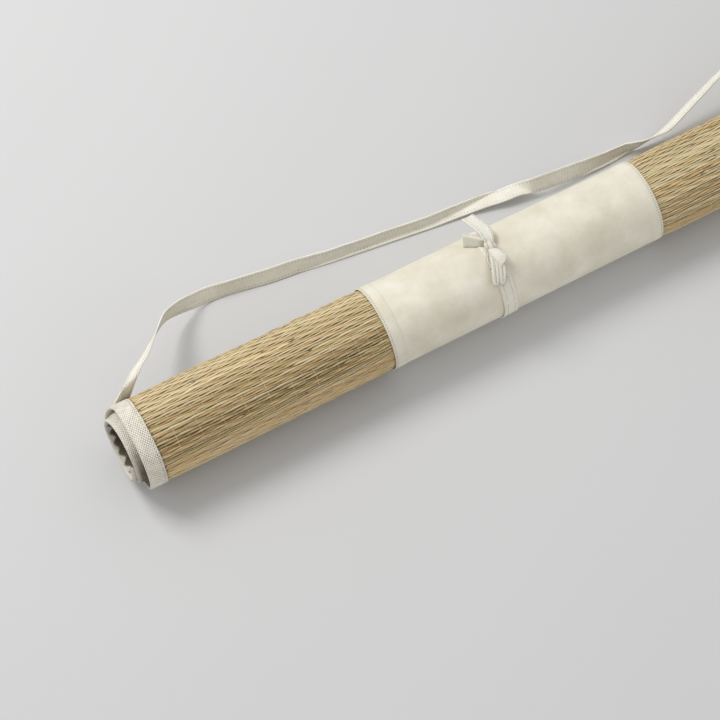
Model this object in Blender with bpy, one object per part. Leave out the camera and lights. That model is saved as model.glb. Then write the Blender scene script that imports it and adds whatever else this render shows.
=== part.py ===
"""A straw mat rolled up, with canvas edge bindings, a canvas wrap, a tie and a carrying strap.

The roll lies along X on the plane z = 0, with the open end that shows best at -X. Its axis is
above y = 0, and the strap lies on the ground behind it, at +Y. Each piece is one closed solid.
"""
import math

import bmesh
import bpy
from mathutils import Vector

MM = 0.001

# Mat, as a flat sheet and as it is wound. Angles are in degrees. The winding starts at the free
# edge of the outer turn, tucked under the roll, and goes up the front, over the top and down
# the back.
MAT_WIDTH = 0.900
FREE_EDGE_ANGLE = 281.0
WOUND_ANGLE = 850.0
TURN_STEP = 10.0
TUCK_DROP = 0.0050
CORE_DROP = 0.0042
CORE_RAISE = 0.0022
CORE_LEAN_ANGLE = 50.0
CORE_TAPER = 0.0030
TURN_PITCH = 0.0046
CORNER_PULL = 0.0080
CORE_SLIDE = 0.0088
MOUTH_SLIDE = 0.0038

# Canvas pieces
PIECE_GAP = 0.0003
BINDING_LEG = 0.0195
BINDING_THICK = 0.0010
WRAP_WIDTH = 0.3276
WRAP_THICK = 0.0010
WRAP_ANGLE = 330.0
TAPE_THICK = 0.0015
STRAP_WIDTH = 0.018
TIE_WIDTH = 0.017
TIE_THICK = 0.0012
TIE_X = -0.025
KNOT_ANGLE = 82.0
KNOT_HALF = (0.0072, 0.0056, 0.0044)

# Stations along the sheet, in millimetres: place along the roll, radius of the mat's middle
# surface in the outer turn, height of the roll's axis, least height of that middle surface,
# and the thickness of the mat, which the bindings press flat.
STATIONS = (
    (-450.0, 46.1, 46.75, 1.9, 1.2),
    (-430.8, 46.1, 46.75, 1.9, 1.2),
    (-427.0, 46.0, 46.75, 1.2, 2.4),
    (-350.0, 46.2, 46.30, 1.2, 2.4),
    (-270.0, 45.1, 45.20, 1.2, 2.4),
    (-176.0, 44.8, 45.10, 1.2, 2.4),
    (-168.0, 44.0, 45.25, 2.5, 2.4),
    (-42.0, 43.9, 45.15, 2.5, 2.4),
    (-35.0, 43.9, 45.15, 4.0, 2.4),
    (-15.0, 43.9, 45.15, 4.0, 2.4),
    (-8.0, 43.9, 45.15, 2.5, 2.4),
    (80.0, 43.5, 44.75, 2.5, 2.4),
    (168.0, 42.8, 44.05, 2.5, 2.4),
    (176.0, 44.0, 44.05, 1.2, 2.4),
    (270.0, 44.4, 44.50, 1.2, 2.4),
    (350.0, 45.0, 45.10, 1.2, 2.4),
    (427.0, 44.9, 45.65, 1.2, 2.4),
    (430.8, 45.0, 45.65, 1.9, 1.2),
    (450.0, 45.0, 45.65, 1.9, 1.2),
)

# Strap, in millimetres: near edge of the tape (x, y and the height of its lowest point), the
# direction across the tape, and how much of the width at the near edge lies level.
STRAP = (
    (-445.5, 44.0, 24.5, 1.0, 0.0, 0.0, 0),
    (-445.5, 47.6, 34.0, 1.0, 0.0, 0.0, 0),
    (-445.5, 49.2, 44.0, 1.0, 0.0, 0.0, 0),
    (-444.3, 50.4, 51.0, 1.0, 0.0, 0.0, 0),
    (-441.8, 50.8, 57.5, 1.0, 0.02, 0.0, 0),
    (-437.6, 51.9, 63.0, 0.98, 0.05, 0.08, 0),
    (-432.9, 54.0, 66.5, 0.93, 0.08, 0.2, 0),
    (-425.0, 59.5, 68.0, 0.8, -0.1, 0.5, 0),
    (-416.5, 67.0, 67.0, 0.62, -0.25, 0.72, 0),
    (-401.3, 78.1, 61.0, 0.45, -0.3, 0.8, 0),
    (-389.0, 89.0, 55.0, 0.4, -0.2, 0.85, 0),
    (-371.0, 105.0, 44.0, 0.3, 0.0, 0.9, 0),
    (-354.0, 119.5, 32.0, 0.15, 0.1, 0.95, 0),
    (-341.5, 126.0, 22.0, 0.0, 0.2, 0.98, 0),
    (-325.5, 130.0, 12.0, 0.0, 0.45, 0.9, 0),
    (-310.5, 132.0, 5.0, 0.0, 0.6, 0.8, 0),
    (-294.0, 133.5, 1.0, 0.0, 0.62, 0.78, 0),
    (-270.0, 131.4, 0.0, 0.0, 0.47, 0.88, 0),
    (-225.0, 122.6, 0.0, 0.0, 0.6, 0.8, 0),
    (-191.0, 118.4, 0.0, 0.0, 0.54, 0.84, 1),
    (-157.0, 113.0, 0.0, 0.0, 0.4, 0.92, 3),
    (-100.0, 105.6, 0.0, 0.0, 0.34, 0.94, 5),
    (-42.0, 98.0, 0.0, 0.0, 0.32, 0.95, 6),
    (-6.0, 94.0, 1.0, 0.0, 0.4, 0.92, 9),
    (25.0, 89.5, 3.0, 0.0, 0.45, 0.9, 14),
    (46.0, 85.0, 5.0, 0.0, 0.6, 0.8, 18),
    (62.0, 83.0, 6.5, 0.0, 0.6, 0.8, 18),
    (78.0, 80.0, 7.0, 0.0, 0.57, 0.82, 0),
    (103.0, 76.8, 6.0, 0.0, 0.66, 0.75, 0),
    (122.0, 75.6, 4.0, 0.0, 0.66, 0.75, 0),
    (159.5, 74.0, 1.0, 0.0, 0.5, 0.87, 3),
    (176.0, 74.5, 0.0, 0.0, 0.33, 0.95, 5),
    (195.0, 76.0, 1.0, 0.0, 0.1, 0.99, 4),
    (210.0, 77.0, 3.0, 0.0, -0.2, 0.98, 0),
    (228.0, 78.0, 7.0, 0.0, -0.45, 0.9, 0),
    (248.0, 81.0, 13.0, -0.2, -0.7, 0.7, 0),
    (290.0, 92.0, 28.0, -0.3, -0.7, 0.6, 0),
    (340.0, 101.0, 46.0, -0.4, -0.6, 0.7, 0),
    (385.0, 92.0, 61.0, -0.45, -0.3, 0.8, 0),
    (416.5, 67.0, 67.0, -0.62, -0.25, 0.72, 0),
    (425.0, 59.0, 68.0, -0.8, -0.1, 0.5, 0),
    (432.9, 53.0, 66.5, -0.93, 0.08, 0.2, 0),
    (437.6, 51.0, 63.0, -0.98, 0.05, 0.08, 0),
    (441.8, 50.0, 57.5, -1.0, 0.02, 0.0, 0),
    (444.3, 49.4, 51.0, -1.0, 0.0, 0.0, 0),
    (445.5, 48.4, 44.0, -1.0, 0.0, 0.0, 0),
    (445.5, 46.9, 34.0, -1.0, 0.0, 0.0, 0),
    (445.5, 43.4, 24.5, -1.0, 0.0, 0.0, 0),
)
LEVEL_ACROSS = (0.0, 0.985, -0.174)
STRAP_STEP = 0.011
STRAP_PARTS = 4

# Free ends and bow of the tie, in millimetres: middle of the tape, its width there, and the
# direction across it. Each starts inside the knot.
TAIL_UP = (
    (-22.0, 8.0, 96.0, 8.0, 1.0, 0.0, 0.0),
    (-20.5, 15.0, 99.5, 13.0, 0.98, 0.0, -0.2),
    (-20.5, 24.5, 101.0, 17.0, 0.94, 0.0, -0.34),
    (-24.0, 37.0, 99.5, 17.0, 0.94, 0.0, -0.34),
    (-27.0, 48.0, 96.0, 17.0, 0.94, 0.0, -0.34),
)
TAIL_LEFT = (
    (-22.0, 7.0, 96.0, 7.0, 0.3, 0.4, 0.8),
    (-30.0, 13.5, 97.5, 10.0, 0.25, 0.5, 0.83),
    (-37.0, 19.5, 98.5, 13.5, 0.25, 0.55, 0.8),
    (-45.0, 27.0, 98.5, 16.0, 0.25, 0.6, 0.76),
)
TAIL_LOW = (
    (-22.5, 6.0, 98.0, 8.0, 1.0, 0.0, 0.0),
    (-22.0, -2.0, 100.0, 12.0, 0.98, 0.15, 0.0),
    (-20.0, -11.0, 99.0, 14.5, 0.97, 0.22, 0.0),
    (-17.5, -20.0, 96.0, 14.5, 0.97, 0.22, 0.0),
)
BOW = (
    (-24.0, 5.0, 95.5, 6.0, 0.5, 0.0, 0.86),
    (-30.0, -6.0, 97.5, 7.5, 0.5, -0.1, 0.86),
    (-34.0, -17.0, 96.5, 8.0, 0.5, -0.25, 0.82),
    (-35.5, -28.0, 92.0, 8.0, 0.45, -0.4, 0.78),
    (-33.5, -37.0, 85.5, 8.0, 0.3, -0.55, 0.7),
    (-29.5, -38.0, 84.5, 8.0, 0.3, -0.55, 0.7),
    (-26.5, -31.0, 90.0, 8.0, 0.45, -0.45, 0.78),
    (-24.5, -18.0, 95.0, 7.5, 0.5, -0.25, 0.82),
    (-22.5, -5.0, 96.5, 7.0, 0.5, -0.1, 0.86),
    (-21.5, 4.0, 95.8, 6.0, 0.5, 0.0, 0.86),
)
TIE_STEP = 0.004


def clear_scene():
    for item in list(bpy.data.objects):
        bpy.data.objects.remove(item, do_unlink=True)


def material(name, color, roughness):
    """One plain surface with a colour and a roughness."""
    made = bpy.data.materials.new(name)
    made.use_nodes = True
    shader = made.node_tree.nodes["Principled BSDF"]
    shader.inputs["Base Color"].default_value = (*color, 1.0)
    shader.inputs["Roughness"].default_value = roughness
    shader.inputs["Metallic"].default_value = 0.0
    return made


def ease(value, start, end):
    """0 before start, 1 after end, and a soft step between them."""
    part = min(1.0, max(0.0, (value - start) / (end - start)))
    return part * part * (3.0 - 2.0 * part)


def station(x):
    """Radius, axis height, least height and thickness of the mat at x, all in metres."""
    place = min(max(x / MM, STATIONS[0][0]), STATIONS[-1][0])
    for low, high in zip(STATIONS, STATIONS[1:]):
        if place <= high[0]:
            break
    part = (place - low[0]) / (high[0] - low[0])
    return [(a + (b - a) * part) * MM for a, b in zip(low[1:], high[1:])]


def drop(x, turn):
    """How far inside the outer turn the sheet lies, turn degrees after its free edge.

    The core sits high and to the back inside the outer turn, and narrows at its open end.
    """
    tucked = TUCK_DROP * ease(turn, 316.0, 360.0)
    lean = math.cos(math.radians(FREE_EDGE_ANGLE - turn - CORE_LEAN_ANGLE))
    at_mouth = 1.0 - ease(x, -0.450, -0.437)
    core = CORE_DROP - CORE_RAISE * lean + CORE_TAPER * at_mouth * (1.0 + lean) / 2
    return tucked + core * ease(turn, 352.0, 420.0) + TURN_PITCH * ease(turn, 640.0, 740.0)


def slide(x, turn):
    """How far the sheet has slid along the roll: a pulled corner, then the core in two steps."""
    in_core = ease(turn, 330.0, 410.0)
    near_corner = 1.0 - ease(x, -0.430, -0.300)
    pulled = CORNER_PULL * near_corner * ease(turn, 235.0, 300.0) * (1.0 - in_core)
    return -pulled - CORE_SLIDE * in_core - MOUTH_SLIDE * ease(turn, 540.0, 660.0)


def wound_point(x, turn, offset):
    """A point at x on the flat sheet, offset outward from the mat's middle surface."""
    radius, axis, least, _ = station(x)
    angle = math.radians(FREE_EDGE_ANGLE - turn)
    reach = radius - drop(x, turn) + offset
    height = max(axis + reach * math.sin(angle), least - offset)
    return Vector((x + slide(x, turn), reach * math.cos(angle), height))


def turns_to(last):
    """Winding angles from the free edge to last, evenly spaced."""
    count = round(last / TURN_STEP)
    return [TURN_STEP * index for index in range(count + 1)]


def strip_solid(name, sections, look, closed=False):
    """One closed solid through a row of sections, each an upper and a lower row of points."""
    mesh = bmesh.new()
    rings = []
    for upper, lower in sections:
        rings.append(([mesh.verts.new(p) for p in upper], [mesh.verts.new(p) for p in lower]))
    pairs = list(zip(rings, rings[1:]))
    if closed:
        pairs.append((rings[-1], rings[0]))
    for (up_a, low_a), (up_b, low_b) in pairs:
        for row_a, row_b in ((up_a, up_b), (low_a, low_b)):
            for index in range(len(row_a) - 1):
                mesh.faces.new((row_a[index], row_a[index + 1], row_b[index + 1]))
                mesh.faces.new((row_a[index], row_b[index + 1], row_b[index]))
        for end in (0, -1):
            mesh.faces.new((up_a[end], low_a[end], low_b[end], up_b[end]))
    if not closed:
        for up, low in (rings[0], rings[-1]):
            for index in range(len(up) - 1):
                mesh.faces.new((up[index], up[index + 1], low[index + 1], low[index]))
    bmesh.ops.recalc_face_normals(mesh, faces=mesh.faces)
    return finish_mesh(name, mesh, look)


def finish_mesh(name, mesh, look):
    """Turn a bmesh into an object in the scene, shaded smooth but for its sharp edges."""
    data = bpy.data.meshes.new(name)
    mesh.to_mesh(data)
    mesh.free()
    data.shade_smooth()
    data.set_sharp_from_angle(angle=math.radians(40))
    data.materials.append(look)
    made = bpy.data.objects.new(name, data)
    bpy.context.scene.collection.objects.link(made)
    return made


def build_mat(look):
    """The mat: one sheet of even width, wound a little more than two turns."""
    places = [row[0] * MM for row in STATIONS]
    sections = []
    for turn in turns_to(WOUND_ANGLE):
        halves = [station(x)[3] / 2 for x in places]
        outer = [wound_point(x, turn, half) for x, half in zip(places, halves)]
        inner = [wound_point(x, turn, -half) for x, half in zip(places, halves)]
        sections.append((outer, inner))
    return strip_solid("mat", sections, look)


def build_binding(name, side, look):
    """A folded canvas strip over one edge of the mat, along its whole length."""
    edge = side * MAT_WIDTH / 2
    inside = edge + side * PIECE_GAP
    outside = inside + side * BINDING_THICK
    leg_end = edge - side * (BINDING_LEG - PIECE_GAP - BINDING_THICK)
    near = station(edge)[3] / 2 + PIECE_GAP
    far = near + BINDING_THICK
    skin = ((leg_end, far), (outside, far), (outside, -far), (leg_end, -far))
    lining = ((leg_end, near), (inside, near), (inside, -near), (leg_end, -near))
    sections = []
    for turn in turns_to(WOUND_ANGLE):
        sections.append((
            [wound_point(x, turn, offset) for x, offset in skin],
            [wound_point(x, turn, offset) for x, offset in lining],
        ))
    return strip_solid(name, sections, look)


def wrap_offset():
    """Distance from the mat's middle surface to the inner face of the wrap."""
    return station(0.0)[3] / 2 + PIECE_GAP


def build_wrap(look):
    """The wide canvas panel sewn round the middle of the outer turn, hems included."""
    half = WRAP_WIDTH / 2
    between = [row[0] * MM for row in STATIONS if abs(row[0] * MM) < half]
    places = [-half] + between + [half]
    near = wrap_offset()
    far = near + WRAP_THICK
    sections = []
    for turn in turns_to(WRAP_ANGLE):
        sections.append((
            [wound_point(x, turn, far) for x in places],
            [wound_point(x, turn, near) for x in places],
        ))
    return strip_solid("canvas_panel", sections, look)


def band_point(x, angle, offset):
    """A point on the ring that the tie makes round the wrap, at an angle in degrees."""
    radius, axis, least, _ = station(TIE_X)
    reach = radius + offset
    height = max(axis + reach * math.sin(math.radians(angle)), least - offset)
    return Vector((x, reach * math.cos(math.radians(angle)), height))


def build_band(look):
    """The ring of tape round the wrap, flat where the roll rests on it."""
    near = wrap_offset() + WRAP_THICK + PIECE_GAP
    far = near + TIE_THICK
    sides = (TIE_X - TIE_WIDTH / 2, TIE_X + TIE_WIDTH / 2)
    sections = []
    for turn in turns_to(360.0 - TURN_STEP):
        angle = FREE_EDGE_ANGLE - turn
        sections.append((
            [band_point(x, angle, far) for x in sides],
            [band_point(x, angle, near) for x in sides],
        ))
    return strip_solid("tie", sections, look, closed=True)


def build_knot(look):
    """The lump of the knot, seated on the ring of tape."""
    base = wrap_offset() + WRAP_THICK + PIECE_GAP
    rise = base + 0.0004 + KNOT_HALF[2]
    mesh = bmesh.new()
    bmesh.ops.create_uvsphere(mesh, u_segments=14, v_segments=8, radius=1.0)
    middle = band_point(TIE_X + 0.002, KNOT_ANGLE, rise)
    tilt = math.radians(KNOT_ANGLE - 90.0)
    for vert in mesh.verts:
        along, round_way, outward = (c * half for c, half in zip(vert.co, KNOT_HALF))
        across = round_way * math.cos(tilt) - outward * math.sin(tilt)
        upward = round_way * math.sin(tilt) + outward * math.cos(tilt)
        vert.co = middle + Vector((along, across, upward))
    return finish_mesh("knot_shape", mesh, look)


def smooth_rows(rows, step):
    """Rows read off a smooth curve through the given ones, a step apart, lengths in metres."""
    spots = [Vector(row[:3]) * MM for row in rows]
    ways = [0.0]
    for first, second in zip(spots, spots[1:]):
        ways.append(ways[-1] + (second - first).length)
    last = len(rows) - 1

    def slope(index, column):
        low, high = max(index - 1, 0), min(index + 1, last)
        return (rows[high][column] - rows[low][column]) / (ways[high] - ways[low])

    count = max(2, round(ways[-1] / step))
    out = []
    for number in range(count + 1):
        way = ways[-1] * number / count
        index = min(last - 1, max(i for i in range(last + 1) if ways[i] <= way + 1e-9))
        span = ways[index + 1] - ways[index]
        t = (way - ways[index]) / span
        row = []
        for column in range(len(rows[0])):
            a, b = rows[index][column], rows[index + 1][column]
            low, high = slope(index, column) * span, slope(index + 1, column) * span
            row.append(
                (2 * t**3 - 3 * t**2 + 1) * a + (t**3 - 2 * t**2 + t) * low
                + (3 * t**2 - 2 * t**3) * b + (t**3 - t**2) * high
            )
        out.append(row)
    return out


def square_to(way, across):
    """The direction across, made square to the way of the tape."""
    return (across - way * across.dot(way)).normalized()


def tape_section(line, normal, thick):
    """Upper and lower rows of points of a tape whose middle line runs through the points."""
    upper = [p + n * thick / 2 for p, n in zip(line, normal)]
    lower = [p - n * thick / 2 for p, n in zip(line, normal)]
    return upper, lower


def run_of(points, index):
    """Unit direction of a row of points at one of them."""
    low, high = max(index - 1, 0), min(index + 1, len(points) - 1)
    return (points[high] - points[low]).normalized()


def build_strap(look):
    """The carrying strap, sewn on the back of both bindings and lying behind the roll."""
    rows = smooth_rows(STRAP, STRAP_STEP)
    spots = [Vector(row[:3]) * MM for row in rows]
    sections = []
    for index, row in enumerate(rows):
        way = run_of(spots, index)
        leaning = Vector(row[3:6]).normalized()
        level = square_to(way, Vector(LEVEL_ACROSS))
        share = STRAP_WIDTH / STRAP_PARTS
        line, turns = [spots[index]], []
        for part in range(STRAP_PARTS):
            flat = min(1.0, max(0.0, (row[6] * MM - part * share) / share))
            heading = (leaning * (1.0 - flat) + level * flat).normalized()
            turns.append(way.cross(heading).normalized())
            line.append(line[-1] + heading * share)
        normal = [turns[0]]
        normal += [(a + b).normalized() for a, b in zip(turns, turns[1:])]
        normal.append(turns[-1])
        upper, lower = tape_section(line, normal, TAPE_THICK)
        lift = max(0.0, spots[index].z) - min(point.z for point in upper + lower)
        shift = Vector((0.0, 0.0, lift))
        sections.append(([p + shift for p in upper], [p + shift for p in lower]))
    return strip_solid("strap", sections, look)


def build_tape(name, table, look):
    """A free end or bow of the tie, as a tape along the rows of its table."""
    rows = smooth_rows(table, TIE_STEP)
    spots = [Vector(row[:3]) * MM for row in rows]
    sections = []
    for index, row in enumerate(rows):
        way = run_of(spots, index)
        across = square_to(way, Vector(row[4:7]))
        half = row[3] * MM / 2
        line = [spots[index] + across * half * side for side in (-1.0, 0.0, 1.0)]
        normal = [way.cross(across)] * len(line)
        sections.append(tape_section(line, normal, TAPE_THICK))
    return strip_solid(name, sections, look)


def build_tie(look):
    """The tie: ring, knot, three free ends or bows, all one tape and so one solid."""
    tie = build_band(look)
    shapes = [build_knot(look)]
    tables = (("end_up", TAIL_UP), ("end_left", TAIL_LEFT), ("end_low", TAIL_LOW), ("bow", BOW))
    for name, table in tables:
        shapes.append(build_tape(name + "_shape", table, look))
    for shape in shapes:
        shape.hide_render = True
        shape.display_type = "WIRE"
        union = tie.modifiers.new(shape.name, "BOOLEAN")
        union.operation = "UNION"
        union.solver = "EXACT"
        union.object = shape
    return tie


def main():
    clear_scene()
    straw = material("straw", (0.52, 0.40, 0.22), 0.75)
    canvas = material("canvas", (0.83, 0.79, 0.69), 0.9)
    tape = material("tape", (0.86, 0.82, 0.72), 0.9)
    edge = material("edge_canvas", (0.84, 0.81, 0.71), 0.9)
    build_mat(straw)
    build_binding("binding_left", -1, edge)
    build_binding("binding_right", 1, edge)
    build_wrap(canvas)
    build_tie(tape)
    build_strap(tape)


main()
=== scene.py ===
# %% [markdown]
# # A straw mat rolled up and tied
# A straw mat lies rolled up on a pale floor. Canvas strips bind its two edges, a canvas panel
# is sewn round its middle, a tape tie holds it shut, and a carrying strap lies behind it.
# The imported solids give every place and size. This script dresses them: each solid is replaced
# by finer cloth of the same form, with weave, seams, stitches and single straws.

# %% Load the frame
import math
import random

import bmesh
import bpy
from mathutils import Matrix, Vector, noise


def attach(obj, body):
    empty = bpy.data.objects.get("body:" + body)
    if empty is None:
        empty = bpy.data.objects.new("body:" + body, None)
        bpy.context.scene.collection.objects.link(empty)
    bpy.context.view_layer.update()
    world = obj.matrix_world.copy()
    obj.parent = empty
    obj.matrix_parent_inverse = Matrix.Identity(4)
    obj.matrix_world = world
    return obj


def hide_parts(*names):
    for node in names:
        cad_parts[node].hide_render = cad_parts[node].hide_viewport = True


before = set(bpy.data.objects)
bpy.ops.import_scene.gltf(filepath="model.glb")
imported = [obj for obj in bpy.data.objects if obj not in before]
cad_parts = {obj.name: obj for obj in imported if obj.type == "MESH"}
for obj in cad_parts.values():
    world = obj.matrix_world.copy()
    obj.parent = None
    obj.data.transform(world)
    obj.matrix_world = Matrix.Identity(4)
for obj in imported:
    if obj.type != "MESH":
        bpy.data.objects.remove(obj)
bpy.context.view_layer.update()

MM = 0.001
print("solids to dress:", sorted(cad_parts))

# %% [markdown]
# ## The camera
# The photograph looks down on the roll from the front left, with a long lens that keeps the
# two long sides nearly parallel. The camera is turned by its own three axes: to the right,
# up, and back towards the viewer. That keeps its horizon exactly level.

# %% Camera
CAMERA_PLACE = Vector((-0.77757, -1.09721, 2.59738))
CAMERA_TURN = math.radians(28.51)
CAMERA_DIP = math.radians(64.42)
CAMERA_LENS = 135.0


def place_camera():
    """A long lens, aimed by a turn from +Y towards +X and a dip below the horizon."""
    level = Vector((math.sin(CAMERA_TURN), math.cos(CAMERA_TURN), 0.0))
    ahead = level * math.cos(CAMERA_DIP) - Vector((0.0, 0.0, math.sin(CAMERA_DIP)))
    right = Vector((math.cos(CAMERA_TURN), -math.sin(CAMERA_TURN), 0.0))
    up = right.cross(ahead)
    data = bpy.data.cameras.new("camera")
    data.lens = CAMERA_LENS
    data.sensor_width = 36.0
    camera = bpy.data.objects.new("camera", data)
    turn = Matrix((right, up, -ahead)).transposed().to_4x4()
    turn.translation = CAMERA_PLACE
    camera.matrix_world = turn
    bpy.context.scene.collection.objects.link(camera)
    bpy.context.scene.camera = camera
    return camera


print("camera at", tuple(round(v, 3) for v in place_camera().location))

# %% [markdown]
# ## Floor and light
# The photograph has a plain pale floor and one large soft light, high up behind the roll on
# its left, so the shadow lies soft and wide towards the lower right. A broad area light gives
# that soft edge. A wider and weaker one behind and above the roll brightens its top. A low
# one in front and a pale, even sky fill what both leave in shadow.

# %% Floor and lights
FLOOR_TONES = (0.640, 0.656)
FLOOR_HALF = 6.0


def node_look(name):
    """A new material, its tree and its shader, ready for texture nodes."""
    look = bpy.data.materials.new(name)
    look.use_nodes = True
    return look, look.node_tree, look.node_tree.nodes["Principled BSDF"]


def node(tree, kind, **settings):
    """One node in the tree, with its properties set."""
    made = tree.nodes.new(kind)
    for key, value in settings.items():
        setattr(made, key, value)
    return made


def make_floor():
    """A wide level sheet with a faint unevenness, marked as stage."""
    look, tree, shader = node_look("floor_look")
    cloud = node(tree, "ShaderNodeTexNoise")
    cloud.inputs["Scale"].default_value = 1.5
    ramp = node(tree, "ShaderNodeValToRGB")
    for element, tone in zip(ramp.color_ramp.elements, FLOOR_TONES):
        element.color = (tone, tone, tone, 1.0)
    place = node(tree, "ShaderNodeTexCoord")
    tree.links.new(place.outputs["Object"], cloud.inputs["Vector"])
    tree.links.new(cloud.outputs["Fac"], ramp.inputs["Fac"])
    tree.links.new(ramp.outputs["Color"], shader.inputs["Base Color"])
    shader.inputs["Roughness"].default_value = 0.95
    shader.inputs["Specular IOR Level"].default_value = 0.1
    mesh = bmesh.new()
    bmesh.ops.create_grid(mesh, x_segments=1, y_segments=1, size=FLOOR_HALF)
    data = bpy.data.meshes.new("floor")
    mesh.to_mesh(data)
    mesh.free()
    data.materials.append(look)
    floor = bpy.data.objects.new("floor", data)
    bpy.context.scene.collection.objects.link(floor)
    return floor


def add_light(name, place, aim, size, power, color):
    """A square soft light at a place, turned to face a point."""
    data = bpy.data.lights.new(name, "AREA")
    data.shape = "SQUARE"
    data.size = size
    data.energy = power
    data.color = color
    lamp = bpy.data.objects.new(name, data)
    lamp.location = place
    lamp.rotation_euler = (Vector(aim) - Vector(place)).to_track_quat("-Z", "Y").to_euler()
    bpy.context.scene.collection.objects.link(lamp)
    return lamp


def set_sky(color, strength):
    """An even pale sky all round."""
    world = bpy.data.worlds.new("studio")
    world.use_nodes = True
    sky = world.node_tree.nodes["Background"]
    sky.inputs["Color"].default_value = (*color, 1.0)
    sky.inputs["Strength"].default_value = strength
    bpy.context.scene.world = world


make_floor()
add_light("key", (-1.05, 1.55, 2.3), (0.0, 0.0, 0.0), 1.1, 46.0, (1.0, 0.99, 0.97))
add_light("above", (0.1, 1.9, 2.9), (0.0, 0.0, 0.0), 3.0, 8.0, (0.99, 0.99, 1.0))
add_light("front", (0.4, -2.6, 1.0), (0.0, 0.0, 0.03), 2.0, 9.0, (1.0, 0.985, 0.955))
set_sky((0.97, 0.975, 0.99), 0.56)
bpy.context.scene.view_settings.view_transform = "Standard"

# %% [markdown]
# ## How the roll is wound
# A rolled mat is a flat sheet laid along a spiral. Every point of the flat sheet has a place
# along the roll, x, and a turn, the angle wound since its free edge. The free edge lies under
# the roll. From there the sheet climbs the front, goes over the top and down the back, then
# tucks inside and forms an open core. The roll is a little flared and the core has slid out
# at the left end. All the cloth layers use the same spiral, each at its own small offset
# outward from the middle of the mat, so nothing cuts through anything.

# %% The spiral
MAT_WIDTH = 0.900
ROLL_RADIUS = 0.0465
PIECE_GAP = 0.0003
FREE_EDGE_ANGLE = 281.0
WOUND_ANGLE = 850.0
TUCK_DROP = 0.0050
CORE_DROP = 0.0042
CORE_RAISE = 0.0022
CORE_LEAN_ANGLE = 50.0
CORE_TAPER = 0.0030
TURN_PITCH = 0.0046
CORNER_PULL = 0.0080
CORE_SLIDE = 0.0088
MOUTH_SLIDE = 0.0038

# In millimetres: x, radius of the mat's middle, height of the axis, least height of that
# middle, and thickness of the mat.
STATIONS = (
    (-450.0, 46.1, 46.75, 1.9, 1.2), (-430.8, 46.1, 46.75, 1.9, 1.2),
    (-427.0, 46.0, 46.75, 1.2, 2.4), (-350.0, 46.2, 46.30, 1.2, 2.4),
    (-270.0, 45.1, 45.20, 1.2, 2.4), (-176.0, 44.8, 45.10, 1.2, 2.4),
    (-168.0, 44.0, 45.25, 2.5, 2.4), (-42.0, 43.9, 45.15, 2.5, 2.4),
    (-35.0, 43.9, 45.15, 4.0, 2.4), (-15.0, 43.9, 45.15, 4.0, 2.4),
    (-8.0, 43.9, 45.15, 2.5, 2.4), (80.0, 43.5, 44.75, 2.5, 2.4),
    (168.0, 42.8, 44.05, 2.5, 2.4), (176.0, 44.0, 44.05, 1.2, 2.4),
    (270.0, 44.4, 44.50, 1.2, 2.4), (350.0, 45.0, 45.10, 1.2, 2.4),
    (427.0, 44.9, 45.65, 1.2, 2.4), (430.8, 45.0, 45.65, 1.9, 1.2),
    (450.0, 45.0, 45.65, 1.9, 1.2),
)


def ease(value, start, end):
    """0 before start, 1 after end, and a soft step between them."""
    part = min(1.0, max(0.0, (value - start) / (end - start)))
    return part * part * (3.0 - 2.0 * part)


def station(x):
    """Radius, axis height, least height and thickness of the mat at x, in metres."""
    place = min(max(x / MM, STATIONS[0][0]), STATIONS[-1][0])
    for low, high in zip(STATIONS, STATIONS[1:]):
        if place <= high[0]:
            break
    part = (place - low[0]) / (high[0] - low[0])
    return [(a + (b - a) * part) * MM for a, b in zip(low[1:], high[1:])]


def drop(x, turn):
    """How far inside the outer turn the sheet lies."""
    tucked = TUCK_DROP * ease(turn, 316.0, 360.0)
    lean = math.cos(math.radians(FREE_EDGE_ANGLE - turn - CORE_LEAN_ANGLE))
    at_mouth = 1.0 - ease(x, -0.450, -0.437)
    core = CORE_DROP - CORE_RAISE * lean + CORE_TAPER * at_mouth * (1.0 + lean) / 2
    return tucked + core * ease(turn, 352.0, 420.0) + TURN_PITCH * ease(turn, 640.0, 740.0)


def slide(x, turn):
    """How far the sheet has slid along the roll: a pulled corner, then the core in two steps."""
    in_core = ease(turn, 330.0, 410.0)
    near_corner = 1.0 - ease(x, -0.430, -0.300)
    pulled = CORNER_PULL * near_corner * ease(turn, 235.0, 300.0) * (1.0 - in_core)
    return -pulled - CORE_SLIDE * in_core - MOUTH_SLIDE * ease(turn, 540.0, 660.0)


def wound_point(x, turn, offset):
    """A point of the flat sheet, offset outward from the mat's middle, never below the floor."""
    radius, axis, least, _ = station(x)
    angle = math.radians(FREE_EDGE_ANGLE - turn)
    reach = radius - drop(x, turn) + offset
    height = max(axis + reach * math.sin(angle), least - offset, 0.0)
    return Vector((x + slide(x, turn), reach * math.cos(angle), height))


def outward(x, turn):
    """The direction that points out of the roll there."""
    angle = math.radians(FREE_EDGE_ANGLE - turn)
    return Vector((0.0, math.cos(angle), math.sin(angle)))


mouth = wound_point(-MAT_WIDTH / 2, 700.0, 0.0)
print("the core slides out to x =", round(mouth.x, 4), "m")

# %% [markdown]
# ## From a flat grid to cloth
# Cloth is flat before it is rolled, knotted or hung, so each piece starts as a flat grid. Its
# flat place in metres is kept as a UV map, which the weave follows later. Then each point is
# laid on the form. A Solidify modifier gives the thickness. This is quicker and cleaner than
# pushing a finished tube about, and the weave never stretches.

# %% Cloth from a grid
def unshaded(u, v):
    """No painted shade anywhere."""
    return 0.0


def pick(values, share):
    """The value that lies at a share from 0 to 1 of the way through a list."""
    return values[round(share * (len(values) - 1))]


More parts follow.
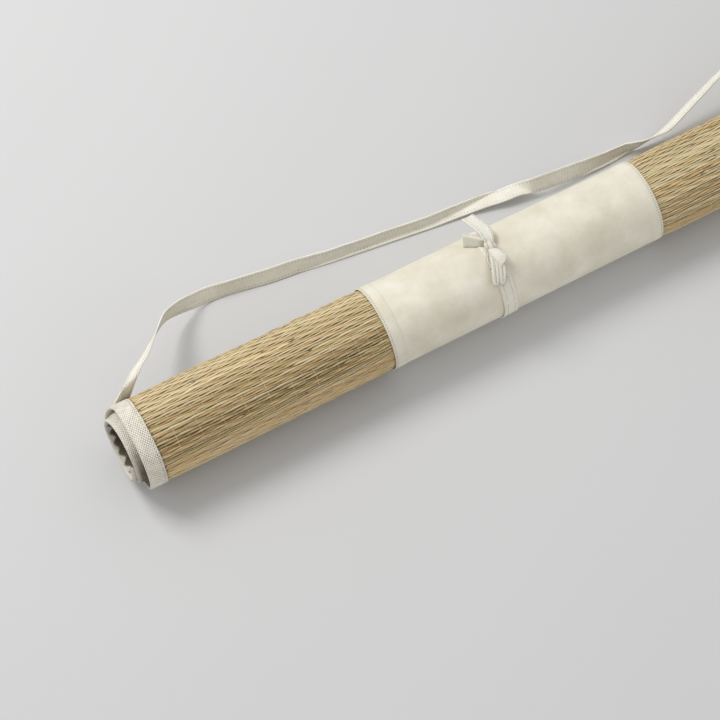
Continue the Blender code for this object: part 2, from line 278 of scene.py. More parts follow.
def new_grid(mesh, across_steps, along_steps):
    """A new flat grid in the mesh: its points, each with its u and v from 0 to 1."""
    made = bmesh.ops.create_grid(
        mesh, x_segments=across_steps, y_segments=along_steps, size=1.0)
    reach = max(vert.co.x for vert in made["verts"]) * 2.0
    return [(vert, vert.co.x / reach + 0.5, vert.co.y / reach + 0.5) for vert in made["verts"]]


def laid_grid(across_steps, along_steps, flat_size, place, shade_of=unshaded):
    """A bmesh grid laid by place(u, v), u across and v along, with a UV map in metres and a
    painted-shade value for each point.
    """
    mesh = bmesh.new()
    flat = mesh.loops.layers.uv.new("flat")
    # Each point keeps a value of painted shade, which its cloth look darkens by.
    painted_shade = mesh.verts.layers.float.new("painted_shade")
    for vert, u, v in new_grid(mesh, across_steps, along_steps):
        for corner in vert.link_loops:
            corner[flat].uv = (u * flat_size[0], v * flat_size[1])
        vert.co = place(u, v)
        vert[painted_shade] = shade_of(u, v)
    return mesh


def close_seams(mesh, reach=1e-7):
    """Merge the doubled points of rolled grids and turn all faces outward."""
    bmesh.ops.remove_doubles(mesh, verts=mesh.verts, dist=reach)
    bmesh.ops.recalc_face_normals(mesh, faces=mesh.faces)


def finish_piece(name, mesh, look, thick=0.0, side=-1.0):
    """Turn a bmesh into a piece that rides on the root body, with an optional thickness."""
    data = bpy.data.meshes.new(name)
    mesh.to_mesh(data)
    mesh.free()
    data.shade_smooth()
    data.materials.append(look)
    piece = bpy.data.objects.new(name, data)
    bpy.context.scene.collection.objects.link(piece)
    if thick:
        wall = piece.modifiers.new("thickness", "SOLIDIFY")
        wall.thickness = thick
        wall.offset = side
        wall.use_even_offset = True
    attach(piece, "root")
    print(name, "has", len(data.polygons), "faces")
    return piece


def wander(seed, place, scale):
    """A smooth random value from about -1 to 1 that changes slowly with place."""
    return noise.noise(Vector((place * scale, seed * 7.31, 0.5)))


# %% [markdown]
# ## Straw, thread and canvas
# The materials carry what is too fine to model. Straw takes its colour from two random
# numbers kept on each straw, and a noise stretched along it gives streaks and stains.
# Woven cloth has threads that go over and under each other: the product of two sine waves of the
# flat place gives that grid of small bumps, and the same pattern paints shade into the hollows.

# %% Materials
def wave(tree, value, pitch):
    """A sine of one flat coordinate, with one full wave each pitch."""
    scaled = node(tree, "ShaderNodeMath", operation="MULTIPLY")
    scaled.inputs[1].default_value = 2.0 * math.pi / pitch
    tree.links.new(value, scaled.inputs[0])
    sine = node(tree, "ShaderNodeMath", operation="SINE")
    tree.links.new(scaled.outputs[0], sine.inputs[0])
    return sine.outputs[0]


def soft_noise(tree, vector, scale, detail, stretch=(1.0, 1.0, 1.0)):
    """A noise value at a vector, stretched by a Mapping node."""
    mapping = node(tree, "ShaderNodeMapping")
    mapping.inputs["Scale"].default_value = stretch
    tree.links.new(vector, mapping.inputs["Vector"])
    cloud = node(tree, "ShaderNodeTexNoise")
    cloud.inputs["Scale"].default_value = scale
    cloud.inputs["Detail"].default_value = detail
    tree.links.new(mapping.outputs["Vector"], cloud.inputs["Vector"])
    return cloud.outputs["Fac"]


def ramp_of(tree, value, stops):
    """A colour ramp over a value, from (place, colour) stops."""
    ramp = node(tree, "ShaderNodeValToRGB")
    line = ramp.color_ramp
    while len(line.elements) < len(stops):
        line.elements.new(0.5)
    for element, (place, color) in zip(line.elements, stops):
        element.position = place
        element.color = (*color, 1.0)
    tree.links.new(value, ramp.inputs["Fac"])
    return ramp.outputs["Color"]


def mixed(tree, kind, share, first, second):
    """Two colours mixed; share is a number or a socket."""
    mix = node(tree, "ShaderNodeMix", data_type="RGBA", blend_type=kind)
    if isinstance(share, float):
        mix.inputs["Factor"].default_value = share
    else:
        tree.links.new(share, mix.inputs["Factor"])
    tree.links.new(first, mix.inputs["A"])
    tree.links.new(second, mix.inputs["B"])
    return mix.outputs["Result"]


def combine(tree, how, *values):
    """One Math node over two or three sockets or numbers."""
    step = node(tree, "ShaderNodeMath", operation=how)
    for index, value in enumerate(values):
        if isinstance(value, (int, float)):
            step.inputs[index].default_value = value
        else:
            tree.links.new(value, step.inputs[index])
    return step.outputs[0]


def raise_by(tree, shader, height, distance, strength):
    """Bump from a height value."""
    bump = node(tree, "ShaderNodeBump")
    bump.inputs["Distance"].default_value = distance
    bump.inputs["Strength"].default_value = strength
    tree.links.new(height, bump.inputs["Height"])
    tree.links.new(bump.outputs["Normal"], shader.inputs["Normal"])


def cloth_look(name, light, dark, pitch, depth, hollow, specks):
    """Plain-woven cotton: bumps, painted shade in the hollows, slubs, a faint mottle, and painted
    shade from each point's value.
    """
    look, tree, shader = node_look(name)
    flat = node(tree, "ShaderNodeUVMap", uv_map="flat")
    split = node(tree, "ShaderNodeSeparateXYZ")
    tree.links.new(flat.outputs["UV"], split.inputs[0])
    warp = wave(tree, split.outputs["X"], pitch)
    weft = wave(tree, split.outputs["Y"], pitch)
    weave = combine(tree, "MULTIPLY", warp, weft)
    height = combine(tree, "MULTIPLY_ADD", weave, 0.5, 0.5)
    slub_across = soft_noise(tree, flat.outputs["UV"], 60.0, 3.0, (1.0, 22.0, 1.0))
    slub_along = soft_noise(tree, flat.outputs["UV"], 60.0, 3.0, (22.0, 1.0, 1.0))
    slubs = combine(tree, "ADD", slub_across, slub_along)
    place = node(tree, "ShaderNodeTexCoord")
    mottle = soft_noise(tree, place.outputs["Object"], 28.0, 4.0)
    base = ramp_of(tree, mottle, ((0.3, dark), (0.7, light)))
    # Painted shade in the weave's hollows, stronger in some patches than in others.
    shade = ramp_of(tree, height, ((0.0, (hollow,) * 3), (0.55, (1.0,) * 3)))
    patchy = soft_noise(tree, flat.outputs["UV"], 130.0, 3.0)
    share = combine(tree, "MULTIPLY_ADD", patchy, 2.6, -0.55)
    share.node.use_clamp = True
    base = mixed(tree, "MULTIPLY", share, base, shade)
    fleck = ramp_of(tree, slubs, ((0.84, (0.86, 0.84, 0.79)), (0.94, (1.0,) * 3)))
    base = mixed(tree, "MULTIPLY", specks, base, fleck)
    # Painted shade: each point's own value darkens the cloth towards a dark brown.
    painted_shade = node(tree, "ShaderNodeAttribute", attribute_name="painted_shade").outputs["Fac"]
    painted_shade_tint = ramp_of(tree, painted_shade, ((0.0, (1.0,) * 3), (1.0, PAINTED_SHADE_TONE)))
    base = mixed(tree, "MULTIPLY", 1.0, base, painted_shade_tint)
    tree.links.new(base, shader.inputs["Base Color"])
    shader.inputs["Roughness"].default_value = 0.92
    shader.inputs["Specular IOR Level"].default_value = 0.25
    shader.inputs["Sheen Weight"].default_value = 0.20
    shader.inputs["Sheen Roughness"].default_value = 0.5
    rough = combine(tree, "MULTIPLY_ADD", slubs, 0.6, height)
    raise_by(tree, shader, rough, depth, 0.8)
    return look


# The dark brown that painted shade on the cloth mixes towards.
PAINTED_SHADE_TONE = (0.13, 0.11, 0.075)
CANVAS = cloth_look(
    "canvas_weave", (0.88, 0.84, 0.715), (0.735, 0.685, 0.54), 0.0009, 0.00012, 0.86, 0.3)
EDGE = cloth_look(
    "edge_weave", (0.96, 0.918, 0.805), (0.88, 0.828, 0.69), 0.0029, 0.0009, 0.15, 0.8)
TAPE = cloth_look(
    "tape_weave", (0.98, 0.955, 0.865), (0.93, 0.895, 0.775), 0.0021, 0.0004, 0.74, 0.6)
TIE = cloth_look(
    "tie_weave", (0.99, 0.955, 0.835), (0.96, 0.915, 0.775), 0.0021, 0.0006, 0.78, 0.5)


def thread_look(name, light, dark, fineness=900.0, strength=0.5):
    """Cotton thread with a fine twist: sewing thread, or the dulled one between the straws."""
    look, tree, shader = node_look(name)
    place = node(tree, "ShaderNodeTexCoord")
    twist = soft_noise(tree, place.outputs["Object"], fineness, 2.0)
    color = ramp_of(tree, twist, ((0.3, dark), (0.7, light)))
    tree.links.new(color, shader.inputs["Base Color"])
    shader.inputs["Roughness"].default_value = 0.8
    raise_by(tree, shader, twist, 0.0001, strength)
    return look


THREAD = thread_look("sewing_thread", (0.50, 0.46, 0.37), (0.30, 0.27, 0.20))
EDGE_THREAD = thread_look("edge_thread", (0.34, 0.31, 0.24), (0.15, 0.13, 0.09))

STRAW_PITCH = 0.00262
STRAW_TONES = (
    (0.00, (0.085, 0.055, 0.022)),
    (0.20, (0.250, 0.168, 0.076)),
    (0.45, (0.500, 0.378, 0.194)),
    (0.70, (0.705, 0.596, 0.378)),
    (1.00, (0.850, 0.770, 0.570)),
)
STRAW_TINTS = (
    (0.00, (0.93, 0.95, 0.84)),
    (0.30, (1.00, 1.00, 1.00)),
    (0.72, (1.00, 0.97, 0.92)),
    (0.88, (1.02, 0.90, 0.70)),
    (1.00, (1.00, 0.84, 0.76)),
)
# Very dark straw tones: painted shade for the gaps between the straws and the core's inside.
SHADED_GROUND_TONES = (
    (0.15, (0.060, 0.042, 0.018)), (0.5, (0.20, 0.145, 0.062)), (0.85, (0.38, 0.29, 0.14)))


def straw_look():
    """Dried straw: a tone and a tint of its own for each, streaks along it and fine ridges."""
    look, tree, shader = node_look("straw_stems")
    tone = node(tree, "ShaderNodeAttribute", attribute_name="tone").outputs["Fac"]
    tint = node(tree, "ShaderNodeAttribute", attribute_name="tint").outputs["Fac"]
    place = node(tree, "ShaderNodeTexCoord").outputs["Object"]
    stain = soft_noise(tree, place, 9.0, 4.0, (1.0, 14.0, 14.0))
    streak = soft_noise(tree, place, 22.0, 3.0, (1.0, 60.0, 60.0))
    toned = combine(tree, "ADD", tone, combine(tree, "MULTIPLY_ADD", stain, 0.36, -0.18))
    toned = combine(tree, "ADD", toned, combine(tree, "MULTIPLY_ADD", streak, 0.30, -0.15))
    color = ramp_of(tree, toned, STRAW_TONES)
    color = mixed(tree, "MULTIPLY", 1.0, color, ramp_of(tree, tint, STRAW_TINTS))
    tree.links.new(color, shader.inputs["Base Color"])
    shader.inputs["Roughness"].default_value = 0.55
    shader.inputs["Specular IOR Level"].default_value = 0.35
    ridges = soft_noise(tree, place, 40.0, 2.0, (1.0, 70.0, 70.0))
    raise_by(tree, shader, ridges, 0.0003, 0.6)
    return look


def ground_look():
    """The body of the mat between and behind the straws: stripes of flattened straw, painted very
    dark as shade.
    """
    look, tree, shader = node_look("straw_ground")
    flat = node(tree, "ShaderNodeUVMap", uv_map="flat")
    split = node(tree, "ShaderNodeSeparateXYZ")
    tree.links.new(flat.outputs["UV"], split.inputs[0])
    stripe = wave(tree, split.outputs["Y"], STRAW_PITCH)
    streak = soft_noise(tree, flat.outputs["UV"], 30.0, 3.0, (1.0, 16.0, 1.0))
    striped = combine(tree, "MULTIPLY_ADD", stripe, 0.22, streak)
    color = ramp_of(tree, striped, SHADED_GROUND_TONES)
    tree.links.new(color, shader.inputs["Base Color"])
    shader.inputs["Roughness"].default_value = 0.8
    raise_by(tree, shader, striped, 0.0012, 0.9)
    return look


STRAW = straw_look()
GROUND = ground_look()
print("materials:", [look.name for look in bpy.data.materials][-6:])

# %% [markdown]
# ## The body of the mat
# The mat is straw held by fine threads. Its body is one thin sheet wound along the spiral. It
# is what shows in the gaps between the straws and on the inside of the core, and its dark colour
# is painted shade there.

# %% Mat body
EDGE_ROWS = 1.5
GROUND_TOP = 0.0001
GROUND_THICK = 0.0010
GROUND_INSET = 0.0004
GROUND_INSET_TURN = 2.5
GROUND_COLUMNS = 180
RIM_RISE = 0.00035


def turn_rows(first, last, step):
    """Evenly spaced turns with one extra close to each end, so that the ends can be rounded."""
    count = max(2, round((last - first) / step))
    inner = [first + (last - first) * index / count for index in range(1, count)]
    return [first, first + EDGE_ROWS] + inner + [last - EDGE_ROWS, last]


def wound_length(x, offset, first, last):
    """Length of the sheet along the spiral, measured over one degree steps."""
    spots = [wound_point(x, turn, offset) for turn in range(round(first), round(last) + 1)]
    return sum((b - a).length for a, b in zip(spots, spots[1:]))


MAT_LENGTH = wound_length(0.3, 0.0, 0, WOUND_ANGLE)


def make_ground():
    turns = turn_rows(GROUND_INSET_TURN, WOUND_ANGLE - GROUND_INSET_TURN, 5.0)
    half = MAT_WIDTH / 2 - GROUND_INSET

    def place(u, v):
        x = (2.0 * u - 1.0) * half
        offset = GROUND_TOP + RIM_RISE * ease(abs(x), 0.427, 0.431)
        return wound_point(x, pick(turns, v), offset)

    mesh = laid_grid(GROUND_COLUMNS, len(turns) - 1, (MAT_WIDTH, MAT_LENGTH), place)
    return finish_piece("mat_body", mesh, GROUND, GROUND_THICK)


mat_body = make_ground()
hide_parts("mat")
print("the mat is wound from", round(MAT_LENGTH, 3), "m of sheet")

# %% [markdown]
# ## Single straws
# From a step away the mat is its straws: long, flattened stems side by side, each with its
# own thickness and colour, dipping under one thread and rising over the next. A bump map would
# look flat at the outline and where the light grazes, so every straw of the outer turn is a
# real tube. Each tube is a small grid rolled up, with its seam merged. Where two threads
# spread neighbouring straws, a short dark slit opens, and the slits lie like bricks in a wall.

# %% Straws
THREAD_PITCH = 0.0132
ROW_SHIFT = 0.66
STRAW_SPANS = ((-0.4335, -0.1585), (0.1585, 0.4335))
STRAW_STEP = 0.0037
STRAW_SIDES = 6
STRAW_LAST_TURN = 350.0
STRAW_LIFT = 0.00010
OWN_TONE = (0.66, 0.11)
TONE_LIMITS = (0.25, 0.95)
JOINED_SHARE = 0.35
JOINT_GAP = 0.0006
LOOSE_STRAWS = 26
STRAW_WAVE = 0.00042
# Painted shade on the straws: darker sides beside the slits, darker still where a slit opens, and
# darker where a straw dips under a thread.
DIP_SHADE = 0.05
SLIT_SHADE = 0.08
DASH_SHADE = 0.60
DASH_START = 0.08
SLIT_OPEN = 0.14
FRONT_BAND_DARKENING = 0.17


def straw_turns(seed):
    """Turns of the straws' middles round the outer turn, a little unevenly spaced."""
    dice = random.Random(seed)
    degrees_each = math.degrees(STRAW_PITCH / ROLL_RADIUS)
    turn, turns = 1.0, []
    while turn < STRAW_LAST_TURN:
        turns.append(turn)
        turn += degrees_each * dice.uniform(0.82, 1.16)
    return turns


def pressed(x):
    """How much of its full height a straw keeps: less under the bindings and the panel."""
    under_binding = 1.0 - 0.5 * ease(abs(x), 0.4265, 0.4310)
    return under_binding * (1.0 - 0.25 * (1.0 - ease(abs(x), 0.163, 0.172)))


def thread_phase(x, row):
    """+1 where this row of straw stands highest over the threads, -1 where it dips lowest."""
    shift = ROW_SHIFT * row + 0.22 * wander(31.0, row, 0.9)
    return math.cos(math.pi * (x / THREAD_PITCH + shift))


def front_band(x, turn):
    """How much darker the straw is in a long band down the front."""
    band = ease(turn, 112.0, 136.0) * (1.0 - ease(turn, 160.0, 186.0))
    return FRONT_BAND_DARKENING * band * (0.7 + 0.6 * wander(41.0, x, 9.0))


def add_straw(mesh, dice, turn, row, size, first, last):
    """One straw from x first to x last: a grid rolled into a flattened tube."""
    tone, tint = mesh.verts.layers.float["tone"], mesh.verts.layers.float["tint"]
    lift, half_wide, half_high = size
    count = max(4, round((last - first) / STRAW_STEP))
    own_tone = min(TONE_LIMITS[1], max(TONE_LIMITS[0], dice.gauss(*OWN_TONE)))
    own_tint = dice.random()
    seed = dice.uniform(0.0, 50.0)
    lean = dice.gauss(0.0, 0.4)
    for vert, u, v in new_grid(mesh, count, STRAW_SIDES):
        x = first + (last - first) * u
        squeeze = pressed(x)
        swell = 1.0 + 0.18 * wander(seed, x, 34.0)
        tip = 1.0 - 0.75 * (1.0 - min(1.0, min(u, 1.0 - u) * count / 1.5)) ** 2
        centre = lift + STRAW_WAVE * thread_phase(x, row)
        around = 2.0 * math.pi * v
        at_slit = max(0.0, 2.0 * abs(math.cos(around)) - 1.0)
        slit = row + 1 if math.cos(around) > 0.0 else row
        dash = max(0.0, thread_phase(x, slit) - DASH_START)
        offset = (centre + half_high * swell * tip * math.sin(around)) * squeeze
        aside = half_wide * swell * tip * math.cos(around) * (1.06 - SLIT_OPEN * dash)
        wobble = 0.55 * wander(seed + 9.0, x, 11.0) + 0.4 * wander(seed + 5.0, x, 60.0)
        slant = lean * (u - 0.5)
        at = turn + wobble + slant + math.degrees(aside / ROLL_RADIUS)
        vert.co = wound_point(x, at, offset)
        # Painted shade at the slits and the dips, then the darker band down the front.
        vert[tone] = own_tone - at_slit * (SLIT_SHADE + DASH_SHADE * dash)
        vert[tone] -= DIP_SHADE * (1.0 - thread_phase(x, row)) + front_band(x, turn)
        vert[tint] = own_tint


def make_straws(name, span, seed):
    """All straws of one side of the mat, then a few loose ones across them."""
    dice = random.Random(seed)
    mesh = bmesh.new()
    mesh.verts.layers.float.new("tone")
    mesh.verts.layers.float.new("tint")
    for row, turn in enumerate(straw_turns(seed + 1)):
        size = (STRAW_LIFT, dice.uniform(0.00108, 0.00142), dice.uniform(0.00072, 0.00098))
        joint = dice.uniform(0.2, 0.8) * (span[1] - span[0]) + span[0]
        if dice.random() < JOINED_SHARE:
            add_straw(mesh, dice, turn, row, size, span[0], joint - JOINT_GAP)
            add_straw(mesh, dice, turn, row, size, joint + JOINT_GAP, span[1])
        else:
            add_straw(mesh, dice, turn, row, size, *span)
    for _ in range(LOOSE_STRAWS):
        turn = dice.uniform(20.0, 330.0)
        first = dice.uniform(span[0] + 0.006, span[1] - 0.12)
        last = first + dice.uniform(0.05, 0.11)
        add_straw(mesh, dice, turn, 0, (0.00085, 0.0008, 0.00045), first, last)
    close_seams(mesh)
    return finish_piece(name, mesh, STRAW)


straws_left = make_straws("straws_left", STRAW_SPANS[0], 11)
straws_right = make_straws("straws_right", STRAW_SPANS[1], 23)

# %% [markdown]
# ## The threads that hold the straws
# Fine cotton threads run round the roll and hold each straw in its place. They pass over a
# straw where it dips and under it where it rises. Each is a thin tube, again a rolled grid.

# %% Threads
THREAD_HALF = 0.00030
THREAD_SIDES = 4
THREAD_OVER, THREAD_UNDER, THREAD_BETWEEN = 0.0009, -0.0006, 0.0003


def add_thread(mesh, x, turns, dice):
    """One thread round the outer turn, over and under the straws."""
    crossings = []
    for row, turn in enumerate(turns):
        height = THREAD_OVER if thread_phase(x, row) < 0.0 else THREAD_UNDER
        crossings.append((turn, height * pressed(x)))
        if row + 1 < len(turns):
            crossings.append(((turn + turns[row + 1]) / 2, THREAD_BETWEEN * pressed(x)))
    seed = dice.uniform(0.0, 50.0)
    for vert, u, v in new_grid(mesh, len(crossings) - 1, THREAD_SIDES):
        turn, offset = pick(crossings, u)
        around = 2.0 * math.pi * v
        sway = 0.0011 * wander(seed, turn, 0.05)
        along = x + sway + THREAD_HALF * math.cos(around)
        vert.co = wound_point(along, turn, offset + THREAD_HALF * math.sin(around))


def make_threads(name, span, seed):
    """The threads of one side of the mat."""
    dice = random.Random(seed)
    turns = straw_turns(seed)
    mesh = bmesh.new()
    first = math.ceil((span[0] + 0.004) / THREAD_PITCH)
    last = math.floor((span[1] - 0.004) / THREAD_PITCH)
    for index in range(first, last + 1):
        add_thread(mesh, index * THREAD_PITCH, turns, dice)
    close_seams(mesh)
    return finish_piece(name, mesh, WARP)


WARP = thread_look("warp_thread", (0.78, 0.70, 0.54), (0.46, 0.38, 0.25), 120.0, 0.4)
threads_left = make_threads("threads_left", STRAW_SPANS[0], 12)
threads_right = make_threads("threads_right", STRAW_SPANS[1], 24)

# %% [markdown]
# ## Edge bindings
# A strip of coarse canvas is folded over each edge of the mat and sewn through. Laid out, it
# is a long ribbon: one half lies outside, it turns round the rim, and the other half lies
# inside. Rolled up, the inner half has less room than it was cut for, so inside the core it
# buckles into small pleats that run in from the rim.

# %% Bindings
BINDING_LEG = 0.0195
BINDING_THICK = 0.0010
BINDING_SKIN = 0.0019
BINDING_COLUMNS = 44
BINDING_SEAM = 0.0026
RIM_SHARE = 0.15
PLEAT_DEPTH = 0.0026
PLEAT_TURN = 23.0


def binding_place(s, side):
    """x on the flat sheet and offset, for s from 0 to 1 round the folded strip."""
    way = s if side > 0 else 1.0 - s
    rim_x = MAT_WIDTH / 2 + PIECE_GAP + BINDING_THICK - BINDING_SKIN
    leg_x = MAT_WIDTH / 2 - (BINDING_LEG - PIECE_GAP - BINDING_THICK)
    leg_share = (1.0 - RIM_SHARE) / 2
    if way < leg_share:
        return side * (leg_x + (rim_x - leg_x) * way / leg_share), BINDING_SKIN
    if way > 1.0 - leg_share:
        return side * (leg_x + (rim_x - leg_x) * (1.0 - way) / leg_share), -BINDING_SKIN
    round_it = math.pi * (way - leg_share) / RIM_SHARE
    x = rim_x + BINDING_SKIN * math.sin(round_it)
    return side * x, BINDING_SKIN * math.cos(round_it)


def ridge(turn):
    """0 in a hollow between two pleats, up to about 1 on a pleat."""
    seat = turn / PLEAT_TURN + 0.35 * wander(3.0, turn, 0.02)
    uneven = 0.7 + 0.5 * wander(8.0, turn, 0.035)
    return abs(math.sin(math.pi * seat)) ** 2.2 * uneven


def pleat(x, turn):
    """Depth of the pleats inside the core at the open end, deepest a little way in."""
    return PLEAT_DEPTH * ease(turn, 505.0, 560.0) * ridge(turn) * ease(-abs(x), -0.4505, -0.4425)


def painted_shade_at(x, turn, inner):
    """How much painted shade darkens the strip: inside the core, more the deeper in and between
    its pleats, and where the core meets the roll.
    """
    if inner:
        lit = 0.0012 + 0.0062 * ridge(turn)
        depth = MAT_WIDTH / 2 + PIECE_GAP - abs(x)
        return 0.92 * ease(turn, 360.0, 420.0) * ease(depth, lit - 0.0006, lit + 0.0022)
    at_join = 0.30 + 0.62 * ease(-abs(x), -0.4500, -0.4455)
    return at_join * ease(turn, 340.0, 372.0) * (1.0 - 0.80 * ease(turn, 470.0, 550.0))


def make_binding(name, side):
    turns = turn_rows(0.0, WOUND_ANGLE, 2.2)

    def place(u, v):
        turn = pick(turns, v)
        x, offset = binding_place(u, side)
        closing = min(1.0, (min(turn, WOUND_ANGLE - turn) / EDGE_ROWS) ** 0.5)
        offset *= 0.25 + 0.75 * closing
        seam_edge = ease(abs(x), 0.4365, 0.4318)
        x -= side * 0.0005 * seam_edge * wander(side * 4.0, turn, 0.06)
        if offset < 0.0 and side < 0:
            offset -= pleat(x, turn)
        elif offset > 0.0:
            offset += 0.00016 * wander(6.0 * side, turn + 900.0 * x, 0.08) * (1.0 - seam_edge)
        return wound_point(x, turn, offset)

    # Painted shade for each point of the strip.
    def shade_of(u, v):
        x, offset = binding_place(u, side)
        return painted_shade_at(x, pick(turns, v), offset < 0.0)

    flat_wide = 2 * (BINDING_LEG - BINDING_SKIN) + math.pi * BINDING_SKIN
    flat_size = (flat_wide, MAT_LENGTH)
    mesh = laid_grid(BINDING_COLUMNS, len(turns) - 1, flat_size, place, shade_of)
    return finish_piece(name, mesh, EDGE, BINDING_THICK * 0.92)


binding_left = make_binding("edge_binding_left", -1)
binding_right = make_binding("edge_binding_right", 1)
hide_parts("binding_left")
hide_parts("binding_right")

# %% [markdown]
# ## The canvas panel
# A wide panel of finer canvas is sewn round the middle. Its two long edges are turned under,
# so a band beside each edge is twice as thick and stands a little proud. The cloth is not
# drawn tight: it has faint, broad waves, which catch the light as soft patches.

# %% Canvas panel
WRAP_WIDTH = 0.3276
WRAP_ANGLE = 330.0
WRAP_SKIN = 0.0025
HEM_WIDE = 0.0145
HEM_RISE = 0.00042
HEM_SEAM = 0.0025
PANEL_THICK = 0.0009
HEM_COLUMNS = (0.0, 0.5, 1.1, 1.7, 2.2, 2.7, 3.3, 5.0, 8.0, 11.0, 13.2, 14.0, 14.8)
MIDDLE_COLUMNS = 104
TIE_X = -0.025


def wrap_wave(x, turn):
    """Faint broad waves of the panel, none under the tie."""
    away = ease(abs(x - TIE_X), 0.010, 0.022)
    broad = noise.noise(Vector((x * 14.0, turn * 0.012, 2.0)))
    small = noise.noise(Vector((x * 45.0, turn * 0.035, 8.0)))
    return away * (0.00032 * broad + 0.00012 * small)


def wrap_offset(x, turn):
    """Offset of the panel's outer face: the hem, its seam line, its rounded edge, the waves."""
    from_edge = WRAP_WIDTH / 2 - abs(x)
    hem = HEM_RISE * (1.0 - ease(from_edge, HEM_WIDE - 0.0012, HEM_WIDE))
    seam = -0.00035 * math.exp(-((from_edge - HEM_SEAM) / 0.0007) ** 2)
    edge = -0.00035 * (1.0 - ease(from_edge, 0.0, 0.0010))
    return WRAP_SKIN + hem + seam + edge + wrap_wave(x, turn)


def panel_columns():
    """Places across the panel, close together at the hems and their seams."""
    near_edge = [WRAP_WIDTH / 2 - inward * MM for inward in HEM_COLUMNS]
    middle = [
        near_edge[-1] * (2.0 * index / MIDDLE_COLUMNS - 1.0) for index in range(1, MIDDLE_COLUMNS)]
    return [-x for x in near_edge] + middle + near_edge[::-1]


def make_panel():
    turns = turn_rows(0.0, WRAP_ANGLE, 3.0)
    columns = panel_columns()
    length = wound_length(0.0, WRAP_SKIN, 0, WRAP_ANGLE)

    def place(u, v):
        x, turn = pick(columns, u), pick(turns, v)
        return wound_point(x, turn, wrap_offset(x, turn))

    mesh = laid_grid(len(columns) - 1, len(turns) - 1, (WRAP_WIDTH, length), place)
    return finish_piece("canvas_cloth", mesh, CANVAS, PANEL_THICK), length


canvas_cloth, WRAP_LENGTH = make_panel()
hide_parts("canvas_panel")

# %% [markdown]
# ## Rows of stitches
# A machine stitch shows as a short thread that dips into the cloth at both ends. Each one is
# a tiny ellipsoid, pressed half into the cloth, set along its seam. One mesh holds all the
# stitches of a piece, so they move and export together.

# %% Stitches on the roll
STITCH_STEP = 0.0034
STITCH_HALF = (0.00115, 0.00030, 0.00024)
STITCH_RADIUS = 0.0470


def stitch_shape():
    """The shape of one stitch, a small ellipsoid along X, kept as a mesh to copy."""
    mesh = bmesh.new()
    size = Matrix.Diagonal((*STITCH_HALF, 1.0))
    bmesh.ops.create_uvsphere(mesh, u_segments=6, v_segments=4, radius=1.0, matrix=size)
    data = bpy.data.meshes.new("stitch_shape")
    mesh.to_mesh(data)
    mesh.free()
    return data


STITCH = stitch_shape()


def add_stitch(mesh, spot, along, out):
    """One stitch at a spot, lying along the seam, half sunk."""
    along = along.normalized()
    out = (out - along * out.dot(along)).normalized()
    turn = Matrix((along, out.cross(along), out)).transposed().to_4x4()
    stitch = STITCH.copy()
    stitch.transform(Matrix.Translation(spot) @ turn)
    mesh.from_mesh(stitch)
    bpy.data.meshes.remove(stitch)


def sew_round(mesh, x, offset, first, last):
    """A row of stitches round the roll at one x, from turn first to turn last."""
    step = math.degrees(STITCH_STEP / STITCH_RADIUS)
    for index in range(int((last - first) / step)):
        turn = first + step * (index + 0.5)
        rise = offset(x, turn) if callable(offset) else offset
        here = wound_point(x, turn - 0.8, rise)
        there = wound_point(x, turn + 0.8, rise)
        spot = (here + there) / 2
        if spot.z > STITCH_HALF[2]:
            add_stitch(mesh, spot, there - here, outward(x, turn))


def finish_stitches(name, mesh, look=THREAD):
    """Turn a mesh full of stitches into a piece."""
    bmesh.ops.recalc_face_normals(mesh, faces=mesh.faces)
    return finish_piece(name, mesh, look)


def make_binding_stitches(name, side):
    mesh = bmesh.new()
    seam = side * (MAT_WIDTH / 2 - BINDING_LEG + PIECE_GAP + BINDING_THICK + BINDING_SEAM)
    sew_round(mesh, seam, BINDING_SKIN + 0.00008, 3.0, 346.0)
    return finish_stitches(name, mesh, EDGE_THREAD)


def make_panel_stitches(name, side):
    mesh = bmesh.new()
    seam = side * (WRAP_WIDTH / 2 - HEM_SEAM)
    sew_round(mesh, seam, wrap_offset, 3.0, WRAP_ANGLE - 3.0)
    return finish_stitches(name, mesh)


edge_stitches = [make_binding_stitches("edge_stitches_left", -1),
                 make_binding_stitches("edge_stitches_right", 1)]
panel_stitches = [make_panel_stitches("panel_stitches_left", -1),
                  make_panel_stitches("panel_stitches_right", 1)]

# %% [markdown]
# ## Tapes
# The tie and the strap are folded cotton tape. A tape follows a smooth line through a short
# table of places, each with the direction across it. The line is a Hermite curve, which
# passes through every place. As for all the cloth, a flat grid is laid along it.

# %% Tapes along a line
def smooth_rows(rows, step):
    """Rows read off a smooth curve through the given ones, a step apart, lengths in metres."""
    spots = [Vector(row[:3]) * MM for row in rows]
    ways = [0.0]
    for first, second in zip(spots, spots[1:]):
        ways.append(ways[-1] + (second - first).length)
    last = len(rows) - 1

    def slope(index, column):
        low, high = max(index - 1, 0), min(index + 1, last)
        return (rows[high][column] - rows[low][column]) / (ways[high] - ways[low])

    count = max(2, round(ways[-1] / step))
    out = []
    for number in range(count + 1):
        way = ways[-1] * number / count
        index = min(last - 1, max(i for i in range(last + 1) if ways[i] <= way + 1e-9))
        span = ways[index + 1] - ways[index]
        t = (way - ways[index]) / span
        row = []
        for column in range(len(rows[0])):
            a, b = rows[index][column], rows[index + 1][column]
            low, high = slope(index, column) * span, slope(index + 1, column) * span
            row.append(
                (2 * t**3 - 3 * t**2 + 1) * a + (t**3 - 2 * t**2 + t) * low
                + (3 * t**2 - 2 * t**3) * b + (t**3 - t**2) * high
            )
        out.append(row)
    return out


def run_of(points, index):
    """Unit direction of a row of points at one of them."""
    low, high = max(index - 1, 0), min(index + 1, len(points) - 1)
    return (points[high] - points[low]).normalized()


def length_of(points):
    """Length along a row of points."""
    return sum((b - a).length for a, b in zip(points, points[1:]))


